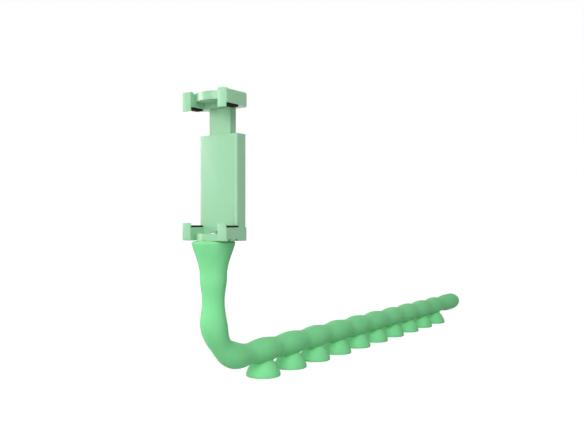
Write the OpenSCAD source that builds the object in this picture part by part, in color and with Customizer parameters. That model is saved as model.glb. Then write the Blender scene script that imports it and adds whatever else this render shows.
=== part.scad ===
// Suction cup holder shaped like a worm. A bendable silicone rod stands on a row of suction
// cups, rises at its head and carries a spring clip that swivels on top.
// Millimetres, +Z up. The origin lies on the surface, under the middle of the holder's length,
// and +X runs along the row of cups towards the tail.

/* [Suction cups] */
// Number of cups in the row
cup_count = 10; // [6:1:12]
// Distance from one cup to the next
cup_pitch = 31.1; // [27:0.1:36]
// Diameter of a cup at its lip
cup_d = 23; // [18:0.1:25]
// Height of the upright edge of the lip
cup_lip_h = 1.2; // [0.8:0.1:2]
// Width of the lip's flat sealing ring
cup_lip_w = 0.9; // [0.6:0.1:1.6]
// Height of the dome, from the surface to its shoulder
dome_h = 10.6; // [10:0.1:11.2]
// Diameter of the neck that joins a cup to the body
neck_d = 11; // [9:0.1:12.5]
// Depth of the hollow under the dome
hollow_h = 5.6; // [4:0.1:6.5]

/* [Worm body] */
// Diameter of the body over a bump
bump_d = 16.6; // [16:0.1:18]
// Diameter of the body at a waist
waist_d = 13.6; // [12.6:0.1:15]
// Height of the body's belly above the surface
belly_gap = 8.4; // [7.6:0.1:9]
// Radius of the centre line through the bend
bend_r = 28; // [22:0.5:32]
// Distance from the riser's axis to the first cup
first_cup = 49.4; // [46:0.1:58]
// Diameter of the rounded tail
tail_d = 15.8; // [14:0.1:17]
// Length of the tail past the last waist
tail_len = 44; // [40:0.5:60]
// Height of the head's top above the surface
head_z = 90.3; // [84:0.1:110]
// Diameter of the head's top
head_d = 27; // [24:0.1:30]
// Length over which the head flares out
flare_len = 17; // [14:0.5:22]
// Radius of the rounding on the head's rim
head_round = 0.8; // [0.4:0.1:1.2]

/* [Core wire] */
// Diameter of the bendable wire
wire_d = 4.5; // [3:0.1:5]
// Outer diameter of the cap on the wire's tail end
tail_cap_d = 8; // [7:0.1:9]
// Length of that cap
tail_cap_len = 9; // [7:0.5:12]
// Depth to which the wire sits in the cap
tail_cap_seat = 6; // [4:0.5:6]
// Distance from the last cup to the cap's far end
tail_cap_reach = 40; // [36:0.5:44]

/* [Head insert] */
// Diameter of the insert's flange
flange_d = 20; // [18:0.1:21]
// Thickness of that flange
flange_h = 3.4; // [2.5:0.1:4]
// Length of the taper under the flange
insert_taper = 5.6; // [4:0.1:7]
// Diameter of the insert's barrel
barrel_d = 12.4; // [11.6:0.1:12.8]
// Whole height of the insert
insert_h = 24; // [23:0.5:26]
// Depth of the ring groove that keys the silicone
key_depth = 0.8; // [0.4:0.1:1]
// Width of that groove
key_w = 4; // [3:0.1:5]
// Depth of the wire's socket
wire_socket = 9; // [7:0.5:9.5]
// Depth of the nut's top face below the insert's top
nut_depth = 9; // [7.5:0.1:9.6]

/* [Swivel] */
// Diameter of the spigot under the lower jaw
spigot_d = 9.8; // [9:0.1:11]
// Length of the spigot
spigot_h = 4; // [3:0.1:5]
// Thickness of the thrust washer
thrust_t = 0.5; // [0.4:0.1:0.8]
// Outer diameter of the thrust washer
thrust_d = 18; // [15:0.1:18]
// Diameter of the swivel screw
screw_d = 4; // [3:0.1:4]
// Length of the swivel screw under its head
screw_len = 15; // [14:0.5:16]
// Diameter of the screw's head
screw_head_d = 7.4; // [6:0.1:8]
// Height of the screw's head
screw_head_h = 2.2; // [1.8:0.1:2.4]
// Width of the nut across its flats
nut_af = 7; // [6:0.1:7.4]
// Thickness of the nut
nut_h = 3.2; // [2.4:0.1:3.6]
// Outer diameter of the flat washer
washer_d = 9; // [8:0.1:10]
// Thickness of the flat washer
washer_t = 0.5; // [0.4:0.1:0.8]
// Thickness of the spring washer
spring_washer_t = 0.8; // [0.6:0.1:1]
// Depth of the recess for the washers
washer_recess = 2.9; // [2:0.1:3.2]

/* [Clip jaws] */
// Width of the jaws
jaw_w = 35.6; // [34:0.1:42]
// Distance from the swivel axis to the front of the jaws
jaw_front = 8.8; // [8:0.1:10]
// Depth of the jaws from front to back
jaw_depth = 19.15; // [18:0.05:20.5]
// Width of each side rail and of the finger in front of it
rail_w = 6.9; // [6.4:0.05:7.5]
// Thickness of the lower jaw's floor
floor_t = 4.3; // [4:0.1:5]
// Thickness of the upper jaw's roof
roof_t = 5; // [4.5:0.1:7]
// Height of the lower rails above the floor
lower_rail_h = 3.8; // [3.6:0.05:5]
// Height of the upper rails below the roof
upper_rail_h = 3.2; // [2.5:0.05:4]
// Thickness of the fingers' lips
lip_t = 0.8; // [0.7:0.1:1.6]
// How far a lip reaches past the face of its pad
lip_reach = 1.4; // [0.8:0.1:2.5]
// How far a lip's outer side stands in from its finger's
lip_in = 0.4; // [0.2:0.1:0.8]
// Depth of the slot between the lips and the back plate
slot_depth = 11.7; // [10:0.1:12.5]
// Opening between the pads at rest
opening = 70.8; // [66:0.1:76]
// How far the upper jaw closes from there
close_travel = 16; // [10:0.5:18]
// How far the upper jaw opens from there
open_travel = 14; // [8:0.5:16]
// How far the web between the fingers bows forward from its two ends
web_bow = 4.6; // [3:0.1:5]
// Distance that the middle of the web stands back from the fingers' front
web_back = 0.2; // [0:0.1:0.5]
// Rounding of the jaws' upright corners
corner_r = 0.7; // [0.4:0.1:1]
// How far the upper fingers' raised front edges stand above the roof
cap_rise = 1; // [0.4:0.1:1.4]
// Depth of those raised edges from front to back
cap_depth = 2; // [1.4:0.1:3]
// Rounding of their front
cap_r = 1; // [0.5:0.1:1.3]
// Rounding of the upper jaw's top edges
top_r = 2; // [1:0.1:2.5]
// Rounding of the lower jaw's bottom edges
bottom_r = 0.7; // [0.4:0.1:1.2]
// Width of the two relief notches along each lower side
notch_w = 2.8; // [1.6:0.1:3.4]
// Height of those notches
notch_h = 1.3; // [0.6:0.1:1.6]
// Depth of those notches
notch_in = 4.2; // [1:0.1:4.5]
// Distance from the jaws' front to the first notch
notch_front = 2.2; // [1.2:0.1:3]
// Distance from one notch to the next
notch_pitch = 6.2; // [5:0.1:8]

/* [Rubber pads] */
// Thickness of a pad
pad_t = 2; // [1.6:0.1:2.4]
// How far a pad stands out of its pocket
pad_proud = 1.15; // [0.8:0.05:1.3]
// Width of a pad
pad_w = 5.6; // [4:0.1:5.8]
// Space between a pad and each end of the slot
pad_margin = 0.15; // [0.1:0.05:0.8]
// Rounding of a pad's upright corners
pad_r = 0.8; // [0.4:0.1:1.5]

/* [Spring housing] */
// Width of the housing behind the slot
housing_w = 30; // [29.6:0.1:32]
// Depth of the housing with its cover
housing_depth = 9; // [8.6:0.1:10]
// Thickness of the housing's front wall
front_wall = 1.8; // [1.4:0.1:2]
// Thickness of the back cover
cover_t = 1.5; // [1.2:0.1:1.8]
// Width of the cavity for the slider
cavity_w = 20.8; // [20.6:0.1:21.2]
// Height of the narrow mouth that stops the slider's foot
mouth_h = 5; // [3:0.1:6]
// Rounding of the housing's upright edges
housing_r = 1.5; // [0.8:0.1:1.7]
// Radius of the ends of the ribs on the back cover
rib_r = 0.6; // [0.4:0.1:0.8]
// Number of grip ribs on the back cover
rib_count = 5; // [3:1:7]
// Distance between grip ribs
rib_pitch = 4; // [3:0.1:5]
// Diameter of the cover screws
cover_screw_d = 2; // [1.6:0.1:2.2]
// Length of the cover screws
cover_screw_len = 6; // [5:0.5:7]
// Diameter of the cover screws' heads
cover_head_d = 3.6; // [3:0.1:3.8]
// Height of the cover screws' heads
cover_head_h = 0.8; // [0.6:0.1:0.8]
// Distance of the cover screws from the housing's ends
cover_screw_in = 6; // [4.5:0.1:8]

/* [Slider] */
// Width of the slider's tongue in the mouth
tongue_w = 17; // [16.4:0.1:17.6]
// Width of each slot that a spring runs in
spring_slot_w = 5.2; // [4.8:0.1:5.4]
// Height of the foot below the mouth at rest
foot_h = 19; // [18:0.5:19]

/* [Springs] */
// Outer diameter of the springs
spring_d = 4.2; // [3.6:0.1:4.2]
// Diameter of the spring wire
spring_wire = 0.5; // [0.4:0.05:0.6]
// Number of turns in each spring
spring_turns = 14; // [10:1:16]
// Distance of each spring from the middle of the clip
spring_y = 4.9; // [4.8:0.05:5.1]
// Diameter of the pins that hold the springs
pin_d = 1.5; // [1.2:0.1:1.8]
// Height of the lower pin above the housing's floor
pin_lift = 3.1; // [2.6:0.1:4]
// Height of the upper pin above the tongue's end
pin_up = 16.5; // [12:0.5:17]

/* [Fits] */
// Space round the slider in its housing
slide_gap = 0.3; // [0.2:0.05:0.4]
// Radial space round the spigot in its bearing
bearing_gap = 0.08; // [0.03:0.01:0.1]
// Space left at a stop at the end of the travel
stop_gap = 0.45; // [0.3:0.05:0.8]
// Space between a moulded body and what lies inside it
moulded_gap = 0.05; // [0.03:0.01:0.1]
// Radial space round pins and screws in their holes
pin_gap = 0.05; // [0.03:0.01:0.1]

/* [Hidden] */

worm_green = [0.49, 0.85, 0.60];
clip_green = [0.63, 0.86, 0.71];
steel = [0.72, 0.73, 0.75];
black_rubber = [0.07, 0.07, 0.08];

// Facets of round shapes, and steps of profiles that follow a curve
$fn = 64;
fine = 64;
steps_per_bump = 8;
corner_steps = 6;
eps = 0.01;

// Height of the centre line of the lying body
axis_z = belly_gap + bump_d / 2;
// Distances along the centre line, zero where the riser's axis would meet the row
bend_start = bend_r - bend_r * PI / 2;
last_cup = first_cup + (cup_count - 1) * cup_pitch;
tail_waist = last_cup + cup_pitch / 2;
tail_tip = tail_waist + tail_len;
// Place of the riser along X, with the origin halfway between the head's rim and the tail's tip
riser_x = (head_d / 2 - tail_tip) / 2;

// Heights of the head insert and of what the screw clamps
insert_bottom = head_z - insert_h;
nut_top = head_z - nut_depth;
jaw_z = head_z + thrust_t;
floor_z = jaw_z + floor_t;
washer_z = floor_z - washer_recess;
spring_washer_z = washer_z + washer_t;
screw_head_z = spring_washer_z + spring_washer_t;
bearing_depth = spigot_h - thrust_t + stop_gap;

// Heights of the rails, pads and lips
lower_rail_z = floor_z + lower_rail_h;
lower_pad_z = lower_rail_z + pad_proud;
lower_lip_z = lower_pad_z + lip_reach;
upper_pad_z = lower_pad_z + opening;
upper_lip_z = upper_pad_z - lip_reach;
upper_rail_z = upper_pad_z + pad_proud;
roof_z = upper_rail_z + upper_rail_h;
roof_top = roof_z + roof_t;
clip_top = roof_top + cap_rise;

// Places along X in the clip, measured from the swivel axis
front_x = -jaw_front;
slot_x = front_x + lip_t;
plate_x = slot_x + slot_depth;
jaw_back_x = front_x + jaw_depth;
housing_back_x = plate_x + housing_depth;
cover_x = housing_back_x - cover_t;
cavity_x = plate_x + front_wall;
cavity_t = cover_x - cavity_x;
spring_x = cavity_x + cavity_t / 2;
rail_in = jaw_w / 2 - rail_w;

// Heights in the housing
housing_top = upper_rail_z - close_travel - stop_gap;
mouth_z = housing_top - mouth_h;
foot_top = mouth_z - open_travel - stop_gap;
lower_pin_z = floor_z + pin_lift;
tongue_end = foot_top - foot_h;
upper_pin_z = tongue_end + pin_up;
cover_screw_y = (cavity_w + housing_w) / 4;
cover_screw_z = [jaw_z + cover_screw_in, housing_top - cover_screw_in];
saddle_deep = 1.1;
pin_play = 0.2;
saddle_y = (cavity_w + saddle_deep) / 2;
hook_r = pin_d / 2 + spring_wire / 2 + 0.1;
coil_r = (spring_d - spring_wire) / 2;

// A curve that eases from 0 to 1
function ease(x) = let (c = max(0, min(1, x))) c * c * (3 - 2 * c);

// Radius of the bumpy body at a distance along its centre line
function bumpy_r(a) = (bump_d + waist_d) / 4
    + (bump_d - waist_d) / 4 * cos(360 * (a - first_cup) / cup_pitch);

// Radius of the riser at a height, with the head's flare added to the bumps
function riser_r(z) =
    let (own = bumpy_r(bend_start - (z - axis_z - bend_r)))
    let (at_top = bumpy_r(bend_start - (head_z - axis_z - bend_r)))
    own + (head_d / 2 - at_top) * ease(1 - (head_z - z) / flare_len);

// Radius of the tail at a distance past the last waist: it swells, then closes like an egg
function tail_r(x) =
    let (swell = 0.4 * tail_len, close = 0.58 * tail_len)
    x < close ? waist_d / 2 + (tail_d - waist_d) / 2 * ease(x / swell)
    : tail_d / 2 * pow(1 - pow((x - close) / (tail_len - close), 2.4), 1 / 2.4);

// Radius of a cup's dome from the lip to its shoulder, for t from 0 to 1
function dome_r(t) = neck_d / 2 + (cup_d - neck_d) / 2 * pow(1 - pow(t, 1.3), 0.7);

// Points of an arc, for outlines with rounded corners
function arc(cx, cy, r, from, to, n = corner_steps) =
    [for (i = [0:n]) let (a = from + (to - from) * i / n) [cx + r * cos(a), cy + r * sin(a)]];

// Outline of a box with its own rounding at each corner, as [x, y] from low to high
function rounded(x0, y0, x1, y1, r00, r10, r11, r01) = concat(
    arc(x0 + r00, y0 + r00, r00, 180, 270), arc(x1 - r10, y0 + r10, r10, 270, 360),
    arc(x1 - r11, y1 - r11, r11, 0, 90), arc(x0 + r01, y1 - r01, r01, 90, 180));

// Tube of n sides along a list of points, with one radius per point. The first side's
// direction is carried along the path, so the tube never twists.
function unit(v) = v / norm(v);
function tangents(p) = [for (i = [0:len(p) - 1])
    unit(p[min(i + 1, len(p) - 1)] - p[max(i - 1, 0)])];
function carried(t, first) = [
    for (i = 0, v = unit(first - (first * t[0]) * t[0]); i < len(t);
         i = i + 1, v = i < len(t) ? unit(v - (v * t[i]) * t[i]) : v) v];
module tube(p, r, n, first) {
    t = tangents(p);
    side = carried(t, first);
    rings = [for (i = [0:len(p) - 1], k = [0:n - 1])
        p[i] + r[i] * (cos(360 * k / n) * side[i] + sin(360 * k / n) * cross(t[i], side[i]))];
    walls = [for (i = [0:len(p) - 2], k = [0:n - 1])
        [i * n + k, (i + 1) * n + k, (i + 1) * n + (k + 1) % n, i * n + (k + 1) % n]];
    polyhedron(rings, concat([[for (k = [0:n - 1]) k]], walls,
        [[for (k = [n - 1:-1:0]) (len(p) - 1) * n + k]]), convexity = 6);
}

// Point of the centre line in the bend, where angle 0 is the riser's end and 90 the row's
function bend_point(angle) =
    [riser_x + bend_r * (1 - cos(angle)), 0, axis_z + bend_r * (1 - sin(angle))];

module at_riser() { translate([riser_x, 0, 0]) children(); }

// Solid of revolution round the row's centre line, from [radius, distance] points
module along_row(profile) {
    translate([riser_x, 0, axis_z]) rotate([0, 90, 0]) rotate_extrude($fn = fine) polygon(profile);
}

// The riser with the flared head
module riser() {
    low = axis_z + bend_r;
    n = ceil((head_z - low) / cup_pitch * steps_per_bump * 1.5);
    high = head_z - head_round;
    at_riser() rotate_extrude($fn = fine) polygon(concat([[0, low]],
        [for (i = [0:n]) let (z = low + (high - low) * i / n) [riser_r(z), z]],
        [for (a = [30:30:90]) [riser_r(high) - head_round * (1 - cos(a)), high + head_round * sin(a)]],
        [[0, head_z]]));
}

// The bend, whose bumps run on from the riser to the row. Each end narrows as it reaches
// into the straight part, so the surfaces cross and never lie on each other.
module bend() {
    steps = 18;
    lap = 3;
    past = 0.3;
    sink = 0.4;
    turn = past / bend_r * 180 / PI;
    arcs = concat([turn], [for (i = [1:steps - 1]) 90 * i / steps], [90 - turn]);
    points = concat([bend_point(0) + [0, 0, lap]], [for (a = arcs) bend_point(a)],
        [bend_point(90) + [lap, 0, 0]]);
    radii = concat([bumpy_r(bend_start - lap) - sink],
        [for (a = arcs) bumpy_r(bend_start + bend_r * a * PI / 180) - past / 10],
        [bumpy_r(bend_r + lap) - sink]);
    tube(points, radii, 36, [0, 1, 0]);
}

// The lying body with its bumps and the rounded tail
module row() {
    n = ceil((tail_waist - bend_r) / cup_pitch * steps_per_bump);
    m = 14;
    along_row(concat([[0, bend_r]],
        [for (i = [0:n]) let (a = bend_r + (tail_waist - bend_r) * i / n) [bumpy_r(a), a]],
        [for (i = [1:m]) let (x = tail_len * sin(90 * i / m)) [i < m ? tail_r(x) : 0, tail_waist + x]]));
}

// One suction cup, hollow underneath, with its neck run up into the body
module cup() {
    n = 8;
    inner = cup_d / 2 - cup_lip_w;
    difference() {
        rotate_extrude($fn = fine) polygon(concat([[0, 0], [cup_d / 2, 0]],
            [for (i = [0:n]) let (t = i / n) [dome_r(t), cup_lip_h + (dome_h - cup_lip_h) * t]],
            [[neck_d / 2, dome_h + bump_d / 8], [0, dome_h + bump_d / 8]]));
        rotate_extrude($fn = fine) polygon(concat([[0, -1], [inner, -1]],
            [for (i = [0:n]) let (a = 90 * i / n) [inner * cos(a), hollow_h * sin(a)]]));
    }
}

// The path of the core wire, from its socket in the head to the cap in the tail
function wire_path() = concat([[riser_x, 0, insert_bottom + wire_socket]],
    [for (a = [0:7.5:90]) bend_point(a)],
    [[riser_x + last_cup + tail_cap_reach - tail_cap_len + tail_cap_seat, 0, axis_z]]);
module wire(d) {
    p = wire_path();
    tube(p, [for (q = p) d / 2], 16, [0, 1, 0]);
}

// Outer form of the head insert: a flange, a taper, and a barrel with a keying groove
module insert_form(gap) {
    top = flange_d / 2 + gap;
    low = barrel_d / 2 + gap;
    taper_z = head_z - flange_h - insert_taper;
    key_z = (taper_z + insert_bottom) / 2;
    at_riser() rotate_extrude($fn = fine) polygon([
        [0, insert_bottom - gap], [low, insert_bottom - gap],
        [low, key_z - key_w / 2 - gap], [low - key_depth, key_z - key_w / 2 + key_depth - gap],
        [low - key_depth, key_z + key_w / 2 - key_depth + gap], [low, key_z + key_w / 2 + gap],
        [low, taper_z], [top, head_z - flange_h - gap], [top, head_z], [0, head_z]]);
}

module worm_body() {
    cap_start = last_cup + tail_cap_reach - tail_cap_len - moulded_gap;
    cap_end = last_cup + tail_cap_reach + moulded_gap;
    cap_r = tail_cap_d / 2 + moulded_gap;
    color(worm_green) difference() {
        union() {
            riser();
            row();
            bend();
            for (i = [0:cup_count - 1])
                translate([riser_x + first_cup + i * cup_pitch, 0, 0]) cup();
        }
        insert_form(moulded_gap);
        wire(wire_d + 2 * moulded_gap);
        along_row([[0, cap_start], [cap_r, cap_start], [cap_r, cap_end], [0, cap_end]]);
    }
}

module core_wire() { color(steel) wire(wire_d); }

// Cap that keeps the wire's end from cutting through the tail
module tail_cap() {
    start = last_cup + tail_cap_reach - tail_cap_len;
    bore = wire_d / 2 + moulded_gap;
    round = tail_cap_d / 4;
    color(black_rubber) along_row(concat(
        [[bore, start], [tail_cap_d / 2, start]],
        [for (p = arc(tail_cap_d / 2 - round, start + tail_cap_len - round, round, 0, 90)) p],
        [[0, start + tail_cap_len], [0, start + tail_cap_seat + moulded_gap],
         [bore, start + tail_cap_seat + moulded_gap]]));
}

// Rigid insert moulded into the head: bearing and nut above, wire socket below
module head_insert() {
    bore = spigot_d / 2 + bearing_gap;
    color(clip_green) difference() {
        insert_form(0);
        at_riser() {
            translate([0, 0, head_z - bearing_depth]) cylinder(r = bore, h = bearing_depth + 1);
            translate([0, 0, nut_top - nut_h - 1]) cylinder(d = screw_d + 4 * pin_gap, h = nut_depth + 2);
            translate([0, 0, nut_top - nut_h - pin_gap])
                cylinder(d = (nut_af + 2 * pin_gap) / cos(30), h = nut_h + 2 * pin_gap, $fn = 6);
            translate([0, 0, insert_bottom - 1])
                cylinder(d = wire_d + 2 * moulded_gap, h = wire_socket + 1 + moulded_gap);
        }
    }
}

module swivel_nut() {
    color(steel) at_riser() translate([0, 0, nut_top - nut_h]) difference() {
        cylinder(d = nut_af / cos(30), h = nut_h, $fn = 6);
        translate([0, 0, -1]) cylinder(d = screw_d + 2 * pin_gap, h = nut_h + 2);
    }
}

module ring(z, outer, inner, h) {
    at_riser() translate([0, 0, z]) difference() {
        cylinder(d = outer, h = h);
        translate([0, 0, -1]) cylinder(d = inner, h = h + 2);
    }
}

module thrust_washer() {
    color(clip_green) ring(head_z, thrust_d, spigot_d + 4 * bearing_gap, thrust_t);
}

module flat_washer() {
    color(steel) ring(washer_z, washer_d, screw_d + 6 * pin_gap, washer_t);
}

// Split ring that keeps the swivel stiff
module spring_washer() {
    split = 0.8;
    color(steel) difference() {
        ring(spring_washer_z, screw_head_d, screw_d + 6 * pin_gap, spring_washer_t);
        at_riser() translate([0, -split / 2, spring_washer_z - 1])
            cube([screw_head_d, split, spring_washer_t + 2]);
    }
}

// Screw that clamps the clip to the head, with a hexagon socket
module swivel_screw() {
    socket_af = 2.5;
    socket_deep = 1.3;
    edge = 0.6;
    color(steel) at_riser() difference() {
        union() {
            translate([0, 0, screw_head_z - screw_len]) cylinder(d = screw_d, h = screw_len + eps);
            translate([0, 0, screw_head_z]) rotate_extrude($fn = fine) polygon(concat([[0, 0]],
                [[screw_head_d / 2, 0]],
                arc(screw_head_d / 2 - edge, screw_head_h - edge, edge, 0, 90),
                [[0, screw_head_h]]));
        }
        translate([0, 0, screw_head_z + screw_head_h - socket_deep])
            cylinder(d = socket_af / cos(30), h = socket_deep + 1, $fn = 6);
    }
}

// Plan of a jaw: two fingers, and a web that bows forward between them
module jaw_plan() {
    half = jaw_w / 2;
    bow_r = (rail_in * rail_in + web_bow * web_bow) / (2 * web_bow);
    turn = asin(rail_in / bow_r);
    inner_r = corner_r / 2;
    polygon(concat(
        arc(front_x + corner_r, half - corner_r, corner_r, 90, 180),
        arc(front_x + inner_r, rail_in + inner_r, inner_r, 180, 270, 3),
        arc(front_x + web_back + bow_r, 0, bow_r, 180 - turn, 180 + turn, 20),
        arc(front_x + inner_r, -rail_in - inner_r, inner_r, 90, 180, 3),
        arc(front_x + corner_r, corner_r - half, corner_r, 180, 270),
        arc(jaw_back_x - corner_r, corner_r - half, corner_r, 270, 360),
        arc(jaw_back_x - corner_r, half - corner_r, corner_r, 0, 90)));
}

// Plan of the housing behind the slot, up to a given back face
module housing_plan(back) {
    polygon(rounded(plate_x, -housing_w / 2, back, housing_w / 2,
        housing_r, eps, eps, housing_r));
}

// Extrudes an outline of [x, z] points across the clip, and one of [y, z] points along it
module across(w) { translate([0, w / 2, 0]) rotate([90, 0, 0]) linear_extrude(w) children(); }
module along(x0, x1) {
    translate([x0, 0, 0]) rotate([90, 0, 90]) linear_extrude(x1 - x0) children();
}

// Pocket for a pad, or the pad itself with no gap. side is 1 for left and -1 for right.
module pad_block(side, z, gap) {
    long = slot_depth - 2 * pad_margin + 2 * gap;
    wide = pad_w + 2 * gap;
    mid = side * (rail_in + rail_w / 2);
    translate([slot_x + pad_margin - gap, mid - wide / 2, z - gap])
        linear_extrude(pad_t + 2 * gap) polygon(rounded(0, 0, long, wide, pad_r, pad_r, pad_r, pad_r));
}

// The lower jaw: floor, rails, fingers, spigot and the front of the spring housing
module lower_jaw() {
    full = jaw_w + 2;
    half = jaw_w / 2;
    edge = lip_t / 2;
    lip_y = half - lip_in;
    color(clip_green) at_riser() difference() {
        union() {
            intersection() {
                translate([0, 0, jaw_z]) linear_extrude(lower_lip_z - jaw_z) jaw_plan();
                across(full) polygon(concat(
                    arc(front_x + bottom_r, jaw_z + bottom_r, bottom_r, 180, 270),
                    arc(jaw_back_x - bottom_r, jaw_z + bottom_r, bottom_r, 270, 360),
                    [[jaw_back_x, lower_rail_z], [slot_x, lower_rail_z]],
                    arc(slot_x - edge / 2, lower_lip_z - edge / 2, edge / 2, 0, 90, 3),
                    arc(front_x + edge, lower_lip_z - edge, edge, 90, 180, 4)));
                along(front_x - 1, jaw_back_x + 1) polygon(concat(
                    arc(bottom_r - half, jaw_z + bottom_r, bottom_r, 180, 270),
                    arc(half - bottom_r, jaw_z + bottom_r, bottom_r, 270, 360),
                    [[half, lower_rail_z], [lip_y, lower_rail_z]],
                    arc(lip_y - edge, lower_lip_z - edge, edge, 0, 90),
                    arc(edge - lip_y, lower_lip_z - edge, edge, 90, 180),
                    [[-lip_y, lower_rail_z], [-half, lower_rail_z]]));
            }
            translate([0, 0, jaw_z]) linear_extrude(housing_top - jaw_z) housing_plan(cover_x);
            translate([0, 0, jaw_z - spigot_h]) cylinder(d = spigot_d, h = spigot_h + eps);
        }
        translate([front_x - 1, -rail_in, floor_z])
            cube([plate_x - front_x + 1, 2 * rail_in, lower_lip_z]);
        translate([0, 0, washer_z]) cylinder(d = washer_d + 4 * pin_gap, h = floor_t);
        translate([0, 0, jaw_z - spigot_h - 1])
            cylinder(d = screw_d + 4 * pin_gap, h = floor_t + spigot_h + 2);
        for (side = [-1, 1]) {
            pad_block(side, lower_pad_z - pad_t, moulded_gap);
            for (i = [0, 1])
                translate([front_x + notch_front + i * notch_pitch, side * jaw_w / 2 - notch_in, jaw_z - 1])
                    cube([notch_w, 2 * notch_in, notch_h + 1]);
        }
        housing_cavity();
        lower_pin_saddle();
        cover_screw_holes(cover_screw_d * 0.4);
    }
}

module housing_cavity() {
    deep = cover_x - cavity_x + 1;
    translate([cavity_x, -cavity_w / 2, floor_z]) cube([deep, cavity_w, mouth_z - floor_z]);
    translate([cavity_x, -tongue_w / 2 - slide_gap, mouth_z - 1])
        cube([deep, tongue_w + 2 * slide_gap, mouth_h + 2]);
}

// Notches, open at the back, that the lower pin is laid in
module lower_pin_saddle() {
    wide = cavity_w + saddle_deep * 2;
    translate([spring_x, 0, lower_pin_z]) rotate([90, 0, 0])
        cylinder(d = pin_d + 2 * pin_gap, h = wide, center = true);
    translate([spring_x, -wide / 2, lower_pin_z - pin_d / 2 - pin_gap])
        cube([cover_x - spring_x + 1, wide, pin_d + 2 * pin_gap]);
}

module at_cover_screws() {
    for (side = [-1, 1], z = cover_screw_z)
        translate([housing_back_x, side * cover_screw_y, z]) rotate([0, 90, 0]) children();
}

module cover_screw_holes(r) {
    at_cover_screws() translate([0, 0, -cover_screw_len - stop_gap])
        cylinder(r = r, h = cover_screw_len + 2);
}

// Cover over the back of the housing, with screw seats and a few grip ribs
module back_cover() {
    rib_w = cavity_w - 4;
    rib_mid = (cover_screw_z[0] + cover_screw_z[1]) / 2;
    key_t = 0.6;
    color(clip_green) at_riser() difference() {
        union() {
            translate([0, 0, jaw_z]) linear_extrude(housing_top - jaw_z)
                polygon(rounded(cover_x, -housing_w / 2, housing_back_x, housing_w / 2,
                    eps, cover_t / 2, cover_t / 2, eps));
            // Keys that close the saddles of the lower pin
            for (side = [-1, 1])
                translate([spring_x + pin_d / 2 + 2 * pin_gap, side * saddle_y - key_t / 2,
                    lower_pin_z - pin_d / 2 + pin_gap])
                    cube([cover_x - spring_x - pin_d / 2, key_t, pin_d - 2 * pin_gap]);
        }
        at_cover_screws() {
            translate([0, 0, -cover_t - 1]) cylinder(d = cover_screw_d + 4 * pin_gap, h = cover_t + 2);
            translate([0, 0, -cover_head_h]) cylinder(d = cover_head_d + 4 * pin_gap, h = cover_head_h + 1);
        }
        for (i = [0:rib_count - 1])
            translate([housing_back_x, 0, rib_mid + (i - (rib_count - 1) / 2) * rib_pitch])
                rotate([90, 0, 0]) cylinder(r = rib_r, h = rib_w, center = true, $fn = 24);
    }
}

module cover_screws() {
    shank = cover_screw_len - cover_head_h;
    cross_w = 0.4;
    cross_deep = 0.45;
    cross_long = 2;
    color(steel) at_riser() at_cover_screws() difference() {
        union() {
            translate([0, 0, -cover_head_h]) cylinder(d = cover_head_d, h = cover_head_h);
            translate([0, 0, -cover_screw_len]) cylinder(d = cover_screw_d * 0.8 - 2 * pin_gap,
                h = shank + eps);
        }
        for (turn = [0, 90])
            rotate([0, 0, turn]) translate([-cross_long / 2, -cross_w / 2, -cross_deep])
                cube([cross_long, cross_w, 1]);
    }
}

// Steel pin laid across the clip
module cross_pin(z, len) {
    color(steel) at_riser() translate([spring_x, 0, z]) rotate([90, 0, 0])
        cylinder(d = pin_d, h = len, center = true);
}

module lower_spring_pin() { cross_pin(lower_pin_z, cavity_w + 2 * saddle_deep - pin_play); }

module upper_spring_pin() { cross_pin(upper_pin_z, cavity_w - 2 * slide_gap - 3 * pin_play); }

// The slider under the upper jaw: a tongue, and a wider foot with two slots for the springs
module slider() {
    foot_w = cavity_w - 2 * slide_gap;
    tongue_t = cavity_t - 2 * slide_gap;
    x = cavity_x + slide_gap;
    above_pin = 1.6;
    slot_top = upper_pin_z + pin_d / 2 + above_pin;
    difference() {
        union() {
            translate([x, -tongue_w / 2, foot_top - 1])
                cube([tongue_t, tongue_w, upper_rail_z - foot_top + 2]);
            translate([x, -foot_w / 2, tongue_end]) cube([tongue_t, foot_w, foot_h]);
        }
        for (side = [-1, 1])
            translate([x - 1, side * spring_y - spring_slot_w / 2, tongue_end - 1])
                cube([tongue_t + 2, spring_slot_w, slot_top - tongue_end + 1]);
        translate([spring_x, 0, upper_pin_z]) rotate([90, 0, 0])
            cylinder(d = pin_d + 2 * pin_gap, h = cavity_w, center = true);
    }
}

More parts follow.
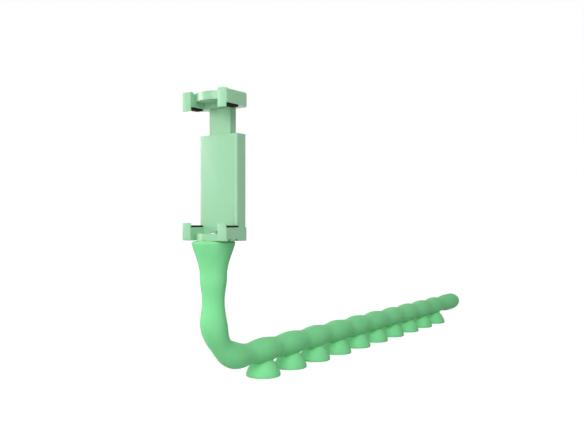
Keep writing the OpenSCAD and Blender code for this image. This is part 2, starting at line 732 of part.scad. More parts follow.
// The upper jaw: roof, rails, fingers and the slider, moulded in one piece
module upper_jaw() {
    full = jaw_w + 2;
    half = jaw_w / 2;
    high = clip_top - upper_lip_z;
    edge = lip_t / 2;
    lip_y = half - lip_in;
    step = 0.4;
    color(clip_green) at_riser() {
        difference() {
            union() {
                intersection() {
                    translate([0, 0, upper_lip_z]) linear_extrude(high) jaw_plan();
                    across(full) polygon(concat(
                        arc(front_x + edge, upper_lip_z + edge, edge, 180, 270, 4),
                        arc(slot_x - edge / 2, upper_lip_z + edge / 2, edge / 2, 270, 360, 3),
                        [[slot_x, upper_rail_z], [jaw_back_x, upper_rail_z]],
                        arc(jaw_back_x - top_r, roof_top - top_r, top_r, 0, 90),
                        [[front_x + cap_depth + cap_rise, roof_top], [front_x + cap_depth, clip_top]],
                        arc(front_x + cap_r, clip_top - cap_r, cap_r, 90, 180)));
                    along(front_x - 1, jaw_back_x + 1) polygon(concat(
                        [[-half, upper_rail_z], [-lip_y, upper_rail_z]],
                        arc(edge - lip_y, upper_lip_z + edge, edge, 180, 270),
                        arc(lip_y - edge, upper_lip_z + edge, edge, 270, 360),
                        [[lip_y, upper_rail_z], [half, upper_rail_z]],
                        arc(half - top_r, clip_top - top_r, top_r, 0, 90),
                        [[rail_in, clip_top], [rail_in - cap_rise, roof_top],
                         [cap_rise - rail_in, roof_top], [-rail_in, clip_top]],
                        arc(top_r - half, clip_top - top_r, top_r, 90, 180)));
                }
                intersection() {
                    translate([0, 0, upper_rail_z]) linear_extrude(roof_top - upper_rail_z)
                        housing_plan(housing_back_x);
                    across(full) polygon(concat(
                        [[plate_x, upper_rail_z], [housing_back_x, upper_rail_z]],
                        arc(housing_back_x - top_r, roof_top - top_r - step, top_r, 0, 90),
                        [[plate_x, roof_top - step]]));
                }
            }
            translate([front_x - 1, -rail_in, upper_lip_z - 1])
                cube([plate_x - front_x + 1, 2 * rail_in, roof_z - upper_lip_z + 1]);
            for (side = [-1, 1]) pad_block(side, upper_pad_z, moulded_gap);
        }
        slider();
    }
}

module pad(side, z) { color(black_rubber) at_riser() pad_block(side, z, 0); }

module lower_pad_left() { pad(1, lower_pad_z - pad_t); }
module lower_pad_right() { pad(-1, lower_pad_z - pad_t); }
module upper_pad_left() { pad(1, upper_pad_z); }
module upper_pad_right() { pad(-1, upper_pad_z); }

// Path of one extension spring: a hook round the lower pin, the coil, a hook round the upper
function spring_path() =
    let (lead = 2.4, low = lower_pin_z + lead, high = upper_pin_z - lead, per_turn = 10)
    concat([for (t = [120:30:360]) [hook_r * cos(t), 0, lower_pin_z + hook_r * sin(t)]],
        [for (i = [0:spring_turns * per_turn]) let (a = 360 * i / per_turn)
            [coil_r * cos(a), coil_r * sin(a), low + (high - low) * i / (spring_turns * per_turn)]],
        [for (t = [0:30:240]) [hook_r * cos(t), 0, upper_pin_z + hook_r * sin(t)]]);
module spring(side) {
    p = spring_path();
    color(steel) at_riser() translate([spring_x, side * spring_y, 0])
        tube(p, [for (q = p) spring_wire / 2], 6, [0, 1, 0]);
}

module spring_left() { spring(1); }
module spring_right() { spring(-1); }

worm_body();
core_wire();
tail_cap();
head_insert();
swivel_nut();
thrust_washer();
lower_jaw();
lower_pad_left();
lower_pad_right();
flat_washer();
spring_washer();
swivel_screw();
back_cover();
cover_screws();
lower_spring_pin();
upper_jaw();
upper_pad_left();
upper_pad_right();
upper_spring_pin();
spring_left();
spring_right();
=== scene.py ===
import bmesh
import bpy
import numpy as np
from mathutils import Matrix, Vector


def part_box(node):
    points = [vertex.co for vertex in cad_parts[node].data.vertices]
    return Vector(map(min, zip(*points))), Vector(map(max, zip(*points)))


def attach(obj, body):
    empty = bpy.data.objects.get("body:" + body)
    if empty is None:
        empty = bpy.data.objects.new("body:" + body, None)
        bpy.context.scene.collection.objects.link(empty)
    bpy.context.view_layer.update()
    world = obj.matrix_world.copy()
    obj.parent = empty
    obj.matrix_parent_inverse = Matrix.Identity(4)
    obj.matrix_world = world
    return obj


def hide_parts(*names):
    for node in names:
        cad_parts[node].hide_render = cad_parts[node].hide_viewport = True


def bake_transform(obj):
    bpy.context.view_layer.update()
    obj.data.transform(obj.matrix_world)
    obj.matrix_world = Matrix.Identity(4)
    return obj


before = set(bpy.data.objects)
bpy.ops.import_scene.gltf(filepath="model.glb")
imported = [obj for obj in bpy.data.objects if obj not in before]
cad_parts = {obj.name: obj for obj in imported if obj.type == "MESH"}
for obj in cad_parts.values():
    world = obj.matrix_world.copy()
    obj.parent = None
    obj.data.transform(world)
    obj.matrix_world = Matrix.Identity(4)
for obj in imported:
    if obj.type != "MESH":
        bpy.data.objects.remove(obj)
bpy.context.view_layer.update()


# The camera stands at the height of the lower jaw, in front of the head and well to its right, and
# looks slantwise along the row of cups. Its lens is a short telephoto on a 36 mm wide frame.
INSERT_LOW, INSERT_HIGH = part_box("head_insert")
RISER_X = (INSERT_LOW[0] + INSERT_HIGH[0]) / 2
CAMERA_FROM_RISER = Vector((-0.2991, -0.2701, 0.10325))
CAMERA_HEADING = 0.616
CAMERA_PITCH = 0.007
CAMERA_LENS, CAMERA_FRAME = 40.68, 36
NEAREST_SEEN = 0.01

camera_data = bpy.data.cameras.new("photo_camera")
camera_data.lens = CAMERA_LENS
camera_data.sensor_width = CAMERA_FRAME
camera_data.clip_start = NEAREST_SEEN
camera = bpy.data.objects.new("photo_camera", camera_data)
camera.location = CAMERA_FROM_RISER + Vector((RISER_X, 0, 0))
look = Vector((np.cos(CAMERA_HEADING), np.sin(CAMERA_HEADING), np.tan(CAMERA_PITCH)))
camera.rotation_euler = look.to_track_quat("-Z", "Y").to_euler()
bpy.context.scene.collection.objects.link(camera)
bpy.context.scene.camera = camera
bpy.context.scene.view_settings.view_transform = "Standard"


# The holder stands on a wide white table top that runs out of view. It shows white to the camera,
# and near the holder it keeps a part of the shadow, so the cups' contact with it can be seen.
FLOOR_HALF, FLOOR_DROP = 6.0, 0.0001
FLOOR_WHITE = 0.60
GLOW_NEAR, GLOW_FAR = 0.80, 1.0
GLOW_STRENGTH = 1.18
NEAR_REACH, FAR_REACH = 0.22, 0.75

corner = FLOOR_HALF * np.array([[-1, -1, 0], [1, -1, 0], [1, 1, 0], [-1, 1, 0]])
floor_mesh = bpy.data.meshes.new("table_top")
floor_mesh.from_pydata((corner - np.array([0, 0, FLOOR_DROP])).tolist(), [], [(0, 1, 2, 3)])
table_top = bpy.data.objects.new("table_top", floor_mesh)
bpy.context.scene.collection.objects.link(table_top)


def seen_directly(nodes, links):
    """1 where a ray comes from the camera, a reflection or a refraction, else 0."""
    path = nodes.new("ShaderNodeLightPath")
    total = path.outputs["Is Camera Ray"]
    for kind in ("Is Glossy Ray", "Is Transmission Ray"):
        add = nodes.new("ShaderNodeMath")
        add.operation = "ADD"
        add.use_clamp = True
        links.new(total, add.inputs[0])
        links.new(path.outputs[kind], add.inputs[1])
        total = add.outputs[0]
    return total


white_top = bpy.data.materials.new("white_table_top")
white_top.use_nodes = True
nodes, links = white_top.node_tree.nodes, white_top.node_tree.links
nodes.clear()
matt = nodes.new("ShaderNodeBsdfDiffuse")
matt.inputs["Color"].default_value = (FLOOR_WHITE, FLOOR_WHITE, FLOOR_WHITE, 1)
glow = nodes.new("ShaderNodeEmission")
glow.inputs["Strength"].default_value = GLOW_STRENGTH
place = nodes.new("ShaderNodeTexCoord")
reach = nodes.new("ShaderNodeVectorMath")
reach.operation = "LENGTH"
links.new(place.outputs["Object"], reach.inputs[0])
fade = nodes.new("ShaderNodeMapRange")
fade.interpolation_type = "SMOOTHSTEP"
for key, value in (("From Min", NEAR_REACH), ("From Max", FAR_REACH),
                   ("To Min", GLOW_NEAR), ("To Max", GLOW_FAR)):
    fade.inputs[key].default_value = value
links.new(reach.outputs["Value"], fade.inputs["Value"])
share = nodes.new("ShaderNodeMath")
share.operation = "MULTIPLY"
links.new(fade.outputs["Result"], share.inputs[1])
mixed = nodes.new("ShaderNodeMixShader")
surface = nodes.new("ShaderNodeOutputMaterial")
links.new(seen_directly(nodes, links), share.inputs[0])
links.new(share.outputs[0], mixed.inputs["Fac"])
links.new(matt.outputs[0], mixed.inputs[1])
links.new(glow.outputs[0], mixed.inputs[2])
links.new(mixed.outputs[0], surface.inputs["Surface"])
floor_mesh.materials.append(white_top)


# The studio: soft lamps low on the left, beside the camera, high above it and high on the right,
# and a weak one behind, in a tent whose walls give little light. Each lamp has its watts, its width
# and its place.
TENT_LIGHT, TENT_SEEN = 0.135, 1.0
LAMPS = {"left_lamp": (5.7, 0.5, (-0.650, 0.981, 0.319)),
         "front_lamp": (5.7, 0.7, (-1.142, -0.385, 0.378)),
         "high_lamp": (4.0, 0.7, (-0.863, -0.282, 0.893)),
         "right_lamp": (3.4, 0.7, (-0.440, -0.739, 0.893)),
         "back_lamp": (1.5, 0.7, (0.750, 0.350, 0.700))}
AIM = Vector((-0.10, 0.0, 0.08))

world = bpy.data.worlds.new("studio_tent")
bpy.context.scene.world = world
world.use_nodes = True
nodes, links = world.node_tree.nodes, world.node_tree.links
nodes.clear()
walls = nodes.new("ShaderNodeBackground")
walls.inputs["Color"].default_value = (1, 1, 1, 1)
walls.inputs["Strength"].default_value = TENT_LIGHT
seen_walls = nodes.new("ShaderNodeBackground")
seen_walls.inputs["Color"].default_value = (1, 1, 1, 1)
seen_walls.inputs["Strength"].default_value = TENT_SEEN
mixed = nodes.new("ShaderNodeMixShader")
surface = nodes.new("ShaderNodeOutputWorld")
links.new(seen_directly(nodes, links), mixed.inputs["Fac"])
links.new(walls.outputs[0], mixed.inputs[1])
links.new(seen_walls.outputs[0], mixed.inputs[2])
links.new(mixed.outputs[0], surface.inputs["Surface"])

for name, (watts, width, place) in LAMPS.items():
    light = bpy.data.lights.new(name, "AREA")
    light.shape = "DISK"
    light.size = width
    light.energy = watts
    lamp = bpy.data.objects.new(name, light)
    lamp.location = place
    lamp.rotation_euler = (AIM - Vector(place)).to_track_quat("-Z", "Y").to_euler()
    bpy.context.scene.collection.objects.link(lamp)


# The worm's rod: soft silicone moulded round a wire in one shot with its cups, then bent by hand.
# The centre line, the head and the hole for the clip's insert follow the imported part, and the bumps
# on the riser, the flare and the tail follow the photo. A faint ridge runs where the mould halves met.
WORM_LOW, WORM_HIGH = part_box("worm_body")
CUP_PITCH = 0.0311
CUP_COUNT = 10
FIRST_CUP = 0.0494
BUMP_R, WAIST_R = 0.0083, 0.0068
ROW_CREASE, RISER_CREASE = 1.4, 2.0
RISER_DROP = 0.0032
AXIS_Z = 0.0167
BEND_R = 0.028
BEND_START = BEND_R - BEND_R * np.pi / 2
HEAD_Z = WORM_HIGH[2]
ROD_TOP = BEND_START - (HEAD_Z - AXIS_Z - BEND_R)
HEAD_R = RISER_X - WORM_LOW[0]
HEAD_ROUND = 0.0008
FLARE_LENGTH = 0.0205
TAIL_WAIST = FIRST_CUP + (CUP_COUNT - 0.5) * CUP_PITCH
TAIL_LENGTH = WORM_HIGH[0] - RISER_X - TAIL_WAIST
TAIL_R = 0.0082
TAIL_SWELLS, TAIL_CLOSES = 0.4, 0.58
TAIL_FULL, TAIL_BLUNT = 2.7, 2.5
SEAM_HEIGHT, SEAM_TURN, SEAM_CLEAR = 0.00009, 0.03, 0.0035
ROD_SIDES, ROD_STEP, TAIL_RINGS = 88, 0.0011, 45
FLANGE_R, FLANGE_H = (INSERT_HIGH[0] - INSERT_LOW[0]) / 2, 0.0034
INSERT_TAPER, INSERT_H = 0.0056, INSERT_HIGH[2] - INSERT_LOW[2]
BARREL_R, MOULDED_GAP = 0.0062, 0.00005


def eased(x):
    """Smooth step: 3x^2 - 2x^3, held at 0 and 1 outside that range."""
    c = np.clip(x, 0, 1)
    return c * c * (3 - 2 * c)


def bumpy_radius(a):
    """Waist radius plus the bump's height times a power of the cosine's size: below 2 the bumps
    meet in creases. Round the bend the power rises to 2, and the bumps sit nearer to the bend."""
    risen = eased((BEND_R - a) / (BEND_R - BEND_START))
    wave = np.abs(np.cos(np.pi * (a - RISER_DROP * risen - FIRST_CUP) / CUP_PITCH))
    return WAIST_R + (BUMP_R - WAIST_R) * wave ** (ROW_CREASE + (RISER_CREASE - ROW_CREASE) * risen)


def rod_radius(a):
    """Bumps, plus an eased flare near the head, then an egg-shaped tail past the last waist."""
    flare = (HEAD_R - bumpy_radius(ROD_TOP)) * eased(1 - (a - ROD_TOP) / FLARE_LENGTH)
    past = np.clip(a - TAIL_WAIST, 0, TAIL_LENGTH)
    swollen = WAIST_R + (TAIL_R - WAIST_R) * eased(past / (TAIL_SWELLS * TAIL_LENGTH))
    closing = np.clip((past / TAIL_LENGTH - TAIL_CLOSES) / (1 - TAIL_CLOSES), 0, 1)
    tail = np.where(closing > 0, TAIL_R * (1 - closing ** TAIL_FULL) ** (1 / TAIL_BLUNT), swollen)
    return np.where(a > TAIL_WAIST, tail, bumpy_radius(a) + flare)


def centre_line(a):
    """Straight down the riser, a quarter circle, then straight along the row. Gives the points,
    and the turned angle, 0 on the riser and a quarter turn on the row."""
    turned = np.clip((a - BEND_START) / BEND_R, 0, np.pi / 2)
    x = RISER_X + BEND_R * (1 - np.cos(turned)) + np.maximum(a - BEND_R, 0)
    z = AXIS_Z + BEND_R * (1 - np.sin(turned)) + np.maximum(BEND_START - a, 0)
    return np.stack([x, np.zeros_like(x), z], 1), turned


def loft(name, rings):
    """Closed mesh through equal closed rings (m, n, 3): quads between neighbours, and a fan from
    the first and from the last ring to its own mean."""
    m, n = rings.shape[:2]
    i, k = np.meshgrid(np.arange(m - 1), np.arange(n), indexing="ij")
    after = (k + 1) % n
    quads = np.stack([i * n + k, i * n + after, (i + 1) * n + after, (i + 1) * n + k], -1)
    first_hub, last_hub = np.full(n, m * n), np.full(n, m * n + 1)
    first_fan = np.stack([first_hub, after[0], k[0]], 1)
    last_fan = np.stack([last_hub, (m - 1) * n + k[0], (m - 1) * n + after[0]], 1)
    points = np.concatenate([rings.reshape(-1, 3), rings[:1].mean(1), rings[-1:].mean(1)])
    faces = quads.reshape(-1, 4).tolist() + first_fan.tolist() + last_fan.tolist()
    mesh = bpy.data.meshes.new(name)
    mesh.from_pydata(points.tolist(), [], faces)
    mesh.update()
    return mesh


def place_piece(name, mesh, material, body, sharp):
    """Puts a mesh in the scene as a smooth-shaded piece that keeps the edges sharper than an angle
    in degrees. A piece with no body is attached to none."""
    work = bmesh.new()
    work.from_mesh(mesh)
    bmesh.ops.remove_doubles(work, verts=work.verts, dist=1e-7)
    bmesh.ops.recalc_face_normals(work, faces=work.faces)
    work.to_mesh(mesh)
    work.free()
    mesh.shade_smooth()
    mesh.set_sharp_from_angle(angle=np.radians(sharp))
    mesh.materials.append(material)
    piece = bpy.data.objects.new(name, mesh)
    bpy.context.scene.collection.objects.link(piece)
    if body:
        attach(piece, body)
    return piece


def surface_grain(nodes, links, scale, detail, rough=0.5):
    """Noise in the object's own metres, with its scale in waves per metre."""
    place = nodes.new("ShaderNodeTexCoord")
    texture = nodes.new("ShaderNodeTexNoise")
    texture.inputs["Scale"].default_value = scale
    texture.inputs["Detail"].default_value = detail
    texture.inputs["Roughness"].default_value = rough
    links.new(place.outputs["Object"], texture.inputs["Vector"])
    return texture.outputs["Fac"]


def sheen_range(nodes, links, factor, low, high):
    """Maps a factor of 0 to 1 to the range low to high."""
    spread = nodes.new("ShaderNodeMapRange")
    spread.inputs["To Min"].default_value = low
    spread.inputs["To Max"].default_value = high
    links.new(factor, spread.inputs["Value"])
    return spread.outputs["Result"]


def two_tone(nodes, links, factor, first, second):
    """Blends two colours by a factor."""
    blend = nodes.new("ShaderNodeMix")
    blend.data_type = "RGBA"
    blend.inputs["A"].default_value = (*first, 1)
    blend.inputs["B"].default_value = (*second, 1)
    links.new(factor, blend.inputs["Factor"])
    return blend.outputs["Result"]


def fine_relief(nodes, links, height, distance):
    """Bump from a height of 0 to 1, where distance is its depth in metres."""
    bump = nodes.new("ShaderNodeBump")
    bump.inputs["Distance"].default_value = distance
    links.new(height, bump.inputs["Height"])
    return bump.outputs["Normal"]


def new_finish(name):
    """A material with a plain Principled surface. Gives it with its nodes, links and shader."""
    material = bpy.data.materials.new(name)
    material.use_nodes = True
    nodes, links = material.node_tree.nodes, material.node_tree.links
    return material, nodes, links, nodes["Principled BSDF"]


SILICONE_LIGHT = (0.234, 0.735, 0.328)
SILICONE_DEEP = (0.206, 0.680, 0.294)
SILICONE_MOTTLE, SILICONE_GRAIN = 55, 2600
SILICONE_SHEEN, SILICONE_SHINE = (0.50, 0.66), 0.10
SILICONE_RELIEF = 0.000012
SILICONE_HAZE, SILICONE_SPREAD, SILICONE_DEPTH = 0.12, (0.6, 1.0, 0.6), 0.003

silicone, nodes, links, shader = new_finish("worm_silicone")
cloud = surface_grain(nodes, links, SILICONE_MOTTLE, detail=4)
links.new(two_tone(nodes, links, cloud, SILICONE_LIGHT, SILICONE_DEEP), shader.inputs["Base Color"])
links.new(sheen_range(nodes, links, cloud, *SILICONE_SHEEN), shader.inputs["Roughness"])
grain = surface_grain(nodes, links, SILICONE_GRAIN, detail=2)
links.new(fine_relief(nodes, links, grain, SILICONE_RELIEF), shader.inputs["Normal"])
shader.inputs["Subsurface Weight"].default_value = SILICONE_HAZE
shader.inputs["Subsurface Radius"].default_value = SILICONE_SPREAD
shader.inputs["Subsurface Scale"].default_value = SILICONE_DEPTH
shader.inputs["Specular IOR Level"].default_value = SILICONE_SHINE

insert_hole = np.array([[INSERT_H + MOULDED_GAP, BARREL_R + MOULDED_GAP],
                        [FLANGE_H + INSERT_TAPER, BARREL_R + MOULDED_GAP],
                        [FLANGE_H + MOULDED_GAP, FLANGE_R + MOULDED_GAP],
                        [0, FLANGE_R + MOULDED_GAP]])
rim_turn = np.radians(np.arange(90, -1, -15))
rim_a = ROD_TOP + HEAD_ROUND * (1 - np.sin(rim_turn))
rim_r = rod_radius(ROD_TOP + HEAD_ROUND) - HEAD_ROUND * (1 - np.cos(rim_turn))
body_a = np.arange(ROD_TOP + HEAD_ROUND * 1.5, TAIL_WAIST, ROD_STEP)
tail_a = TAIL_WAIST + TAIL_LENGTH * np.sin(np.linspace(0, np.pi / 2, TAIL_RINGS + 1))[:-1]
profile_a = np.concatenate([ROD_TOP + insert_hole[:, 0], rim_a, body_a, tail_a])
profile_r = np.concatenate([insert_hole[:, 1], rim_r, rod_radius(body_a), rod_radius(tail_a)])

seam_offsets = SEAM_TURN * np.arange(-2, 3)
around = np.linspace(0, 2 * np.pi, ROD_SIDES, endpoint=False)
around = around[np.abs(np.abs(np.sin(around)) - 1) > SEAM_CLEAR]
around = np.sort(np.concatenate([around, np.pi / 2 + seam_offsets, 1.5 * np.pi + seam_offsets]))
seam = SEAM_HEIGHT * np.clip(1 - np.arccos(np.abs(np.sin(around)).clip(0, 1)) / SEAM_TURN, 0, 1)

middle, turned = centre_line(profile_a)
outward = np.stack([np.cos(turned), np.zeros_like(turned), np.sin(turned)], 1)
outside = np.arange(len(profile_a)) >= len(insert_hole)
reach = profile_r[:, None] + seam[None] * outside[:, None]
rings = (middle[:, None]
         + (reach * np.cos(around))[..., None] * np.array([0, 1, 0])
         + (reach * np.sin(around))[..., None] * outward[:, None])
worm_rod = place_piece("worm_rod", loft("worm_rod", rings), silicone, "worm", sharp=40)
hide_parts("worm_body")


# The suction cups, in the same shot as the rod: a domed bell with an upright lip, a thin flat
# sealing ring, and a hollow that is pressed flat to hold. Each hangs from the rod by its neck.
CUP_R, NECK_R = 0.0115, 0.0055
LIP_HEIGHT, LIP_WIDTH = 0.0012, 0.0009
DOME_HEIGHT, DOME_FULL, DOME_SHOULDER = 0.0106, 1.3, 0.7
HOLLOW_R, HOLLOW_HEIGHT = CUP_R - LIP_WIDTH, 0.0056
NECK_TOP = 0.0125
LIP_ROUND, LIP_CORNER = 0.00025, 0.3
CUP_SIDES, DOME_RINGS, HOLLOW_RINGS = 72, 22, 12

climb = np.linspace(0, 1, DOME_RINGS)
dome = np.stack([NECK_R + (CUP_R - NECK_R) * (1 - climb ** DOME_FULL) ** DOME_SHOULDER,
                 LIP_HEIGHT + (DOME_HEIGHT - LIP_HEIGHT) * climb], 1)
vault = np.linspace(np.pi / 2, 0, HOLLOW_RINGS)[1:-1]
hollow = np.stack([HOLLOW_R * np.cos(vault), HOLLOW_HEIGHT * np.sin(vault)], 1)
lip = np.array([[HOLLOW_R, 0], [CUP_R - LIP_ROUND, 0],
                [CUP_R - LIP_ROUND * LIP_CORNER, LIP_ROUND * LIP_CORNER], [CUP_R, LIP_ROUND]])
cup_profile = np.concatenate([hollow, lip, dome, [[NECK_R, NECK_TOP]]])
round_cup = np.linspace(0, 2 * np.pi, CUP_SIDES, endpoint=False)
one_cup = np.stack([cup_profile[:, :1] * np.cos(round_cup), cup_profile[:, :1] * np.sin(round_cup),
                    np.repeat(cup_profile[:, 1:], CUP_SIDES, 1)], -1)
cups = bmesh.new()
for i in range(CUP_COUNT):
    centre = np.array([RISER_X + FIRST_CUP + i * CUP_PITCH, 0, 0])
    cup_mesh = loft("one_cup", one_cup + centre)
    cups.from_mesh(cup_mesh)
    bpy.data.meshes.remove(cup_mesh)
cup_mesh = bpy.data.meshes.new("suction_cups")
cups.to_mesh(cup_mesh)
cups.free()
place_piece("suction_cups", cup_mesh, silicone, "worm", sharp=40)


# The clip: two jaws and a back cover, injection-moulded in light mint ABS with a fine spark-eroded
# grain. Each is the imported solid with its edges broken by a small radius, as a mould leaves them.
# The insert in the worm's head is of the same ABS.
ABS_LIGHT = (0.298, 0.578, 0.354)
ABS_DEEP = (0.272, 0.550, 0.327)
ABS_MOTTLE, ABS_GRAIN = 90, 1500
ABS_SHEEN, ABS_SHINE = (0.20, 0.40), 0.45
ABS_RELIEF = 0.000012
EDGE_BREAK, EDGE_ANGLE = 0.00022, 35

abs_mint, nodes, links, shader = new_finish("mint_abs")
cloud = surface_grain(nodes, links, ABS_MOTTLE, detail=3)
links.new(two_tone(nodes, links, cloud, ABS_LIGHT, ABS_DEEP), shader.inputs["Base Color"])
speckle = surface_grain(nodes, links, ABS_GRAIN, detail=4, rough=0.6)
links.new(sheen_range(nodes, links, speckle, *ABS_SHEEN), shader.inputs["Roughness"])
links.new(fine_relief(nodes, links, speckle, ABS_RELIEF), shader.inputs["Normal"])
shader.inputs["Specular IOR Level"].default_value = ABS_SHINE


def sharp_moulding(node, name):
    """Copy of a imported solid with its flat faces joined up, ready for its edges to be broken."""
    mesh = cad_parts[node].data.copy()
    mesh.name = name
    mesh.materials.clear()
    work = bmesh.new()
    work.from_mesh(mesh)
    bmesh.ops.remove_doubles(work, verts=work.verts, dist=1e-6)
    bmesh.ops.dissolve_limit(work, angle_limit=np.radians(0.5), use_dissolve_boundaries=False,
                             verts=work.verts, edges=work.edges)
    work.to_mesh(mesh)
    work.free()
    return mesh


for node, body in (("lower_jaw", "clip_base"), ("back_cover", "clip_base"),
                   ("upper_jaw", "clip_slide")):
    piece = place_piece("moulded_" + node, sharp_moulding(node, "moulded_" + node),
                        abs_mint, body, sharp=30)
    bevel = piece.modifiers.new("broken_edges", "BEVEL")
    bevel.width = EDGE_BREAK
    bevel.segments = 2
    bevel.limit_method = "ANGLE"
    bevel.angle_limit = np.radians(EDGE_ANGLE)
    bevel.miter_outer = "MITER_ARC"
    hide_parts(node)


def finish_nodes(material, *names):
    """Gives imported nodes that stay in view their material."""
    for name in names:
        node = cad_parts[name]
        node.data.materials.clear()
        node.data.materials.append(material)


finish_nodes(abs_mint, "head_insert")


# The pads: strips of black rubber pressed into pockets in the rails. Their gripping face has
# shallow ridges across its length, and their corners are round.
PAD_RIDGES = 7
PAD_RIDGE_HEIGHT = 0.00018
PAD_CORNER, PAD_SIDES = 0.0008, 128
PAD_SQUARENESS, PAD_END_DRAW = 1.42, 0.3
# Both blacks are deeper than the rubber's own: partly its colour, partly painted shade on the pads.
RUBBER_BLACK_AND_SHADE, RUBBER_DUSTY_AND_SHADE = (0.006, 0.006, 0.006), (0.013, 0.013, 0.013)
RUBBER_DUST, RUBBER_GRAIN = 420, 3200
RUBBER_SHEEN, RUBBER_SHINE = (0.62, 0.82), 0.12
RUBBER_RELIEF = 0.00002

pad_rubber, nodes, links, shader = new_finish("black_rubber")
dust = surface_grain(nodes, links, RUBBER_DUST, detail=5)
links.new(two_tone(nodes, links, dust, RUBBER_BLACK_AND_SHADE, RUBBER_DUSTY_AND_SHADE), shader.inputs["Base Color"])
links.new(sheen_range(nodes, links, dust, *RUBBER_SHEEN), shader.inputs["Roughness"])
grain = surface_grain(nodes, links, RUBBER_GRAIN, detail=2)
links.new(fine_relief(nodes, links, grain, RUBBER_RELIEF), shader.inputs["Normal"])
shader.inputs["Specular IOR Level"].default_value = RUBBER_SHINE


def ridged_pad(name, low, high, face_up):
    """Rings shrink from the pad's rounded-box outline to a line along its middle, first down the
    side and then over the gripping face, where the height follows a cosine along the pad."""
    half = (np.array(high) - np.array(low)) / 2
    centre = (np.array(high) + np.array(low)) / 2
    turn = np.linspace(0, 2 * np.pi, PAD_SIDES, endpoint=False)
    straight = half[:2] - PAD_CORNER
    edge = np.stack([np.cos(turn), np.sin(turn)], 1)
    outline = PAD_CORNER * edge + straight * np.clip(edge * PAD_SQUARENESS, -1, 1)
    inset = np.array([0.6, 0.15, 0.0, 0.0, 0.0, 0.05, 0.15, 0.3, 0.5, 0.7, 0.9])
    level = np.array([0.0, 0.0, 0.06, 0.5, 0.9, 0.97, 1.0, 1.0, 1.0, 1.0, 1.0])
    flat = outline[None] * (1 - inset[:, None, None] * np.array([PAD_END_DRAW, 1]))
    wave = 0.5 - 0.5 * np.cos(2 * np.pi * PAD_RIDGES * (flat[..., 0] / (2 * half[0]) + 0.5))
    height = 2 * half[2] * level[:, None] - PAD_RIDGE_HEIGHT * wave * (level[:, None] >= 1)
    z = -half[2] + height
    rings = np.concatenate([flat, (z if face_up else -z)[..., None]], -1) + centre
    return loft(name, rings)


for node, body, face_up in (("lower_pad_left", "clip_base", True),
                            ("lower_pad_right", "clip_base", True),
                            ("upper_pad_left", "clip_slide", False),
                            ("upper_pad_right", "clip_slide", False)):
    pad = place_piece("ridged_" + node, ridged_pad("ridged_" + node, *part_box(node), face_up),
                      pad_rubber, body, sharp=50)
    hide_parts(node)


# Steel parts: zinc-plated screws, nut, washers, pins and springs, with the fine lines that
# drawing, turning and stamping leave.
ZINC_LIGHT, ZINC_DEEP = (0.42, 0.43, 0.44), (0.28, 0.29, 0.31)
ZINC_LINES = 700
ZINC_SHEEN = (0.22, 0.42)
ZINC_RELIEF = 0.000015

zinc_steel, nodes, links, shader = new_finish("zinc_steel")
shader.inputs["Metallic"].default_value = 1.0
drawn = surface_grain(nodes, links, ZINC_LINES, detail=6, rough=0.7)
links.new(two_tone(nodes, links, drawn, ZINC_LIGHT, ZINC_DEEP), shader.inputs["Base Color"])
links.new(sheen_range(nodes, links, drawn, *ZINC_SHEEN), shader.inputs["Roughness"])
links.new(fine_relief(nodes, links, drawn, ZINC_RELIEF), shader.inputs["Normal"])

finish_nodes(zinc_steel, "swivel_nut", "swivel_screw", "spring_washer", "flat_washer",
             "cover_screws", "lower_spring_pin", "upper_spring_pin")


# The two extension springs: plated wire wound into a coil, with a hook at each end that lies round
# a pin. The lower pin sits in the lower jaw and the upper one in the slider, so only the coils
# between the hooks stretch as the clip opens.
SPRING_WIRE_R = 0.00025
SPRING_TURNS, TURN_STEPS = 14, 26
HOOK_CLEARANCE = 0.0001
HOOK_TO_COIL = 0.0024
HOOK_OPENS, HOOK_CLOSES, HOOK_STEP = 120, 360, 20
WIRE_SIDES = 10


def spring_wire(coil_r, hook_r, low, high):
    """Along a hook round the lower pin, a helix, and a hook round the upper pin, the wire's rings are
    its radius times the cosine and sine of an angle, in the outward direction and across it."""
    hook = np.radians(np.arange(HOOK_OPENS, HOOK_CLOSES + 1, HOOK_STEP))
    wound = np.linspace(0, 2 * np.pi * SPRING_TURNS, TURN_STEPS * SPRING_TURNS + 1)
    flat = np.zeros_like(hook)
    hooked = np.stack([np.cos(hook), flat, np.sin(hook)], 1)
    closing = np.stack([np.cos(hook), flat, -np.sin(hook)], 1)[::-1]
    coiled = np.stack([np.cos(wound), np.sin(wound), np.zeros_like(wound)], 1)
    rise = np.linspace(low + HOOK_TO_COIL, high - HOOK_TO_COIL, len(wound))
    up = np.array([0, 0, 1])
    path = np.concatenate([hook_r * hooked + low * up, coil_r * coiled + rise[:, None] * up,
                           hook_r * closing + high * up])
    outward = np.concatenate([hooked, coiled, closing])
    along = np.gradient(path, axis=0)
    along /= np.linalg.norm(along, axis=1, keepdims=True)
    outward -= (outward * along).sum(1, keepdims=True) * along
    outward /= np.linalg.norm(outward, axis=1, keepdims=True)
    across = np.cross(along, outward)
    turn = np.linspace(0, 2 * np.pi, WIRE_SIDES, endpoint=False)[:, None]
    section = outward[:, None] * np.cos(turn) + across[:, None] * np.sin(turn)
    return path[:, None] + SPRING_WIRE_R * section


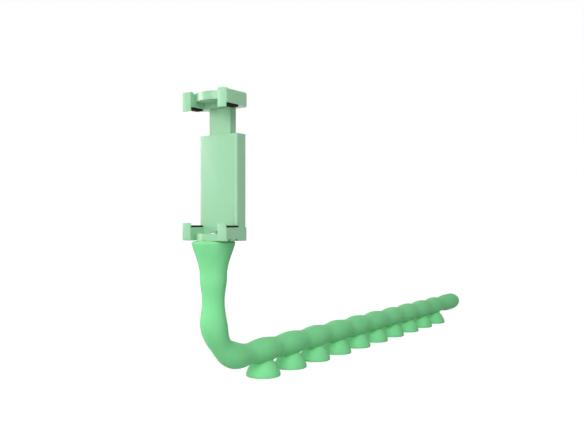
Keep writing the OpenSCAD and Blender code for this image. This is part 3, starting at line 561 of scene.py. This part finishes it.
pin_low, pin_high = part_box("lower_spring_pin")
low_pin_z, pin_r = (pin_low[2] + pin_high[2]) / 2, (pin_high[2] - pin_low[2]) / 2
high_pin_z = (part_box("upper_spring_pin")[0][2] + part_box("upper_spring_pin")[1][2]) / 2
hook_r = pin_r + SPRING_WIRE_R + HOOK_CLEARANCE
for side in ("left", "right"):
    low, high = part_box("spring_" + side)
    axis = np.array([(low[0] + high[0]) / 2, (low[1] + high[1]) / 2, 0])
    coil_r = (high[1] - low[1]) / 2 - SPRING_WIRE_R
    rings = spring_wire(coil_r, hook_r, low_pin_z, high_pin_z)
    spring = place_piece("coiled_spring_" + side, loft("coiled_spring_" + side, rings + axis),
                         zinc_steel, None, sharp=60)
    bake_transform(spring)
    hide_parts("spring_" + side)


# The core wire: soft drawn aluminium, laid in the mould before the silicone is shot round it. It is
# dull, and slightly scratched by bending.
WIRE_LIGHT, WIRE_DEEP = (0.70, 0.71, 0.73), (0.58, 0.59, 0.61)
WIRE_SCUFF = 350
WIRE_SHEEN = (0.40, 0.60)

soft_aluminium, nodes, links, shader = new_finish("soft_aluminium")
shader.inputs["Metallic"].default_value = 1.0
scuff = surface_grain(nodes, links, WIRE_SCUFF, detail=5)
links.new(two_tone(nodes, links, scuff, WIRE_LIGHT, WIRE_DEEP), shader.inputs["Base Color"])
links.new(sheen_range(nodes, links, scuff, *WIRE_SHEEN), shader.inputs["Roughness"])
finish_nodes(soft_aluminium, "core_wire")


# The cap on the wire's tail end: black nylon, pushed on before the silicone is shot, so that the
# wire can't cut through the tail.
NYLON_BLACK, NYLON_HAZY = (0.02, 0.02, 0.022), (0.03, 0.03, 0.032)
NYLON_HAZE = 500
NYLON_SHEEN = (0.45, 0.60)

black_nylon, nodes, links, shader = new_finish("black_nylon")
haze = surface_grain(nodes, links, NYLON_HAZE, detail=3)
links.new(two_tone(nodes, links, haze, NYLON_BLACK, NYLON_HAZY), shader.inputs["Base Color"])
links.new(sheen_range(nodes, links, haze, *NYLON_SHEEN), shader.inputs["Roughness"])
finish_nodes(black_nylon, "tail_cap")


# The thrust washer: slippery acetal in the clip's mint, loose round the swivel screw between the
# worm's head and the clip.
ACETAL_LIGHT, ACETAL_DEEP = (0.33, 0.60, 0.385), (0.30, 0.56, 0.35)
ACETAL_HAZE = 500
ACETAL_SHEEN = (0.35, 0.50)

mint_acetal, nodes, links, shader = new_finish("mint_acetal")
haze = surface_grain(nodes, links, ACETAL_HAZE, detail=3)
links.new(two_tone(nodes, links, haze, ACETAL_LIGHT, ACETAL_DEEP), shader.inputs["Base Color"])
links.new(sheen_range(nodes, links, haze, *ACETAL_SHEEN), shader.inputs["Roughness"])
finish_nodes(mint_acetal, "thrust_washer")
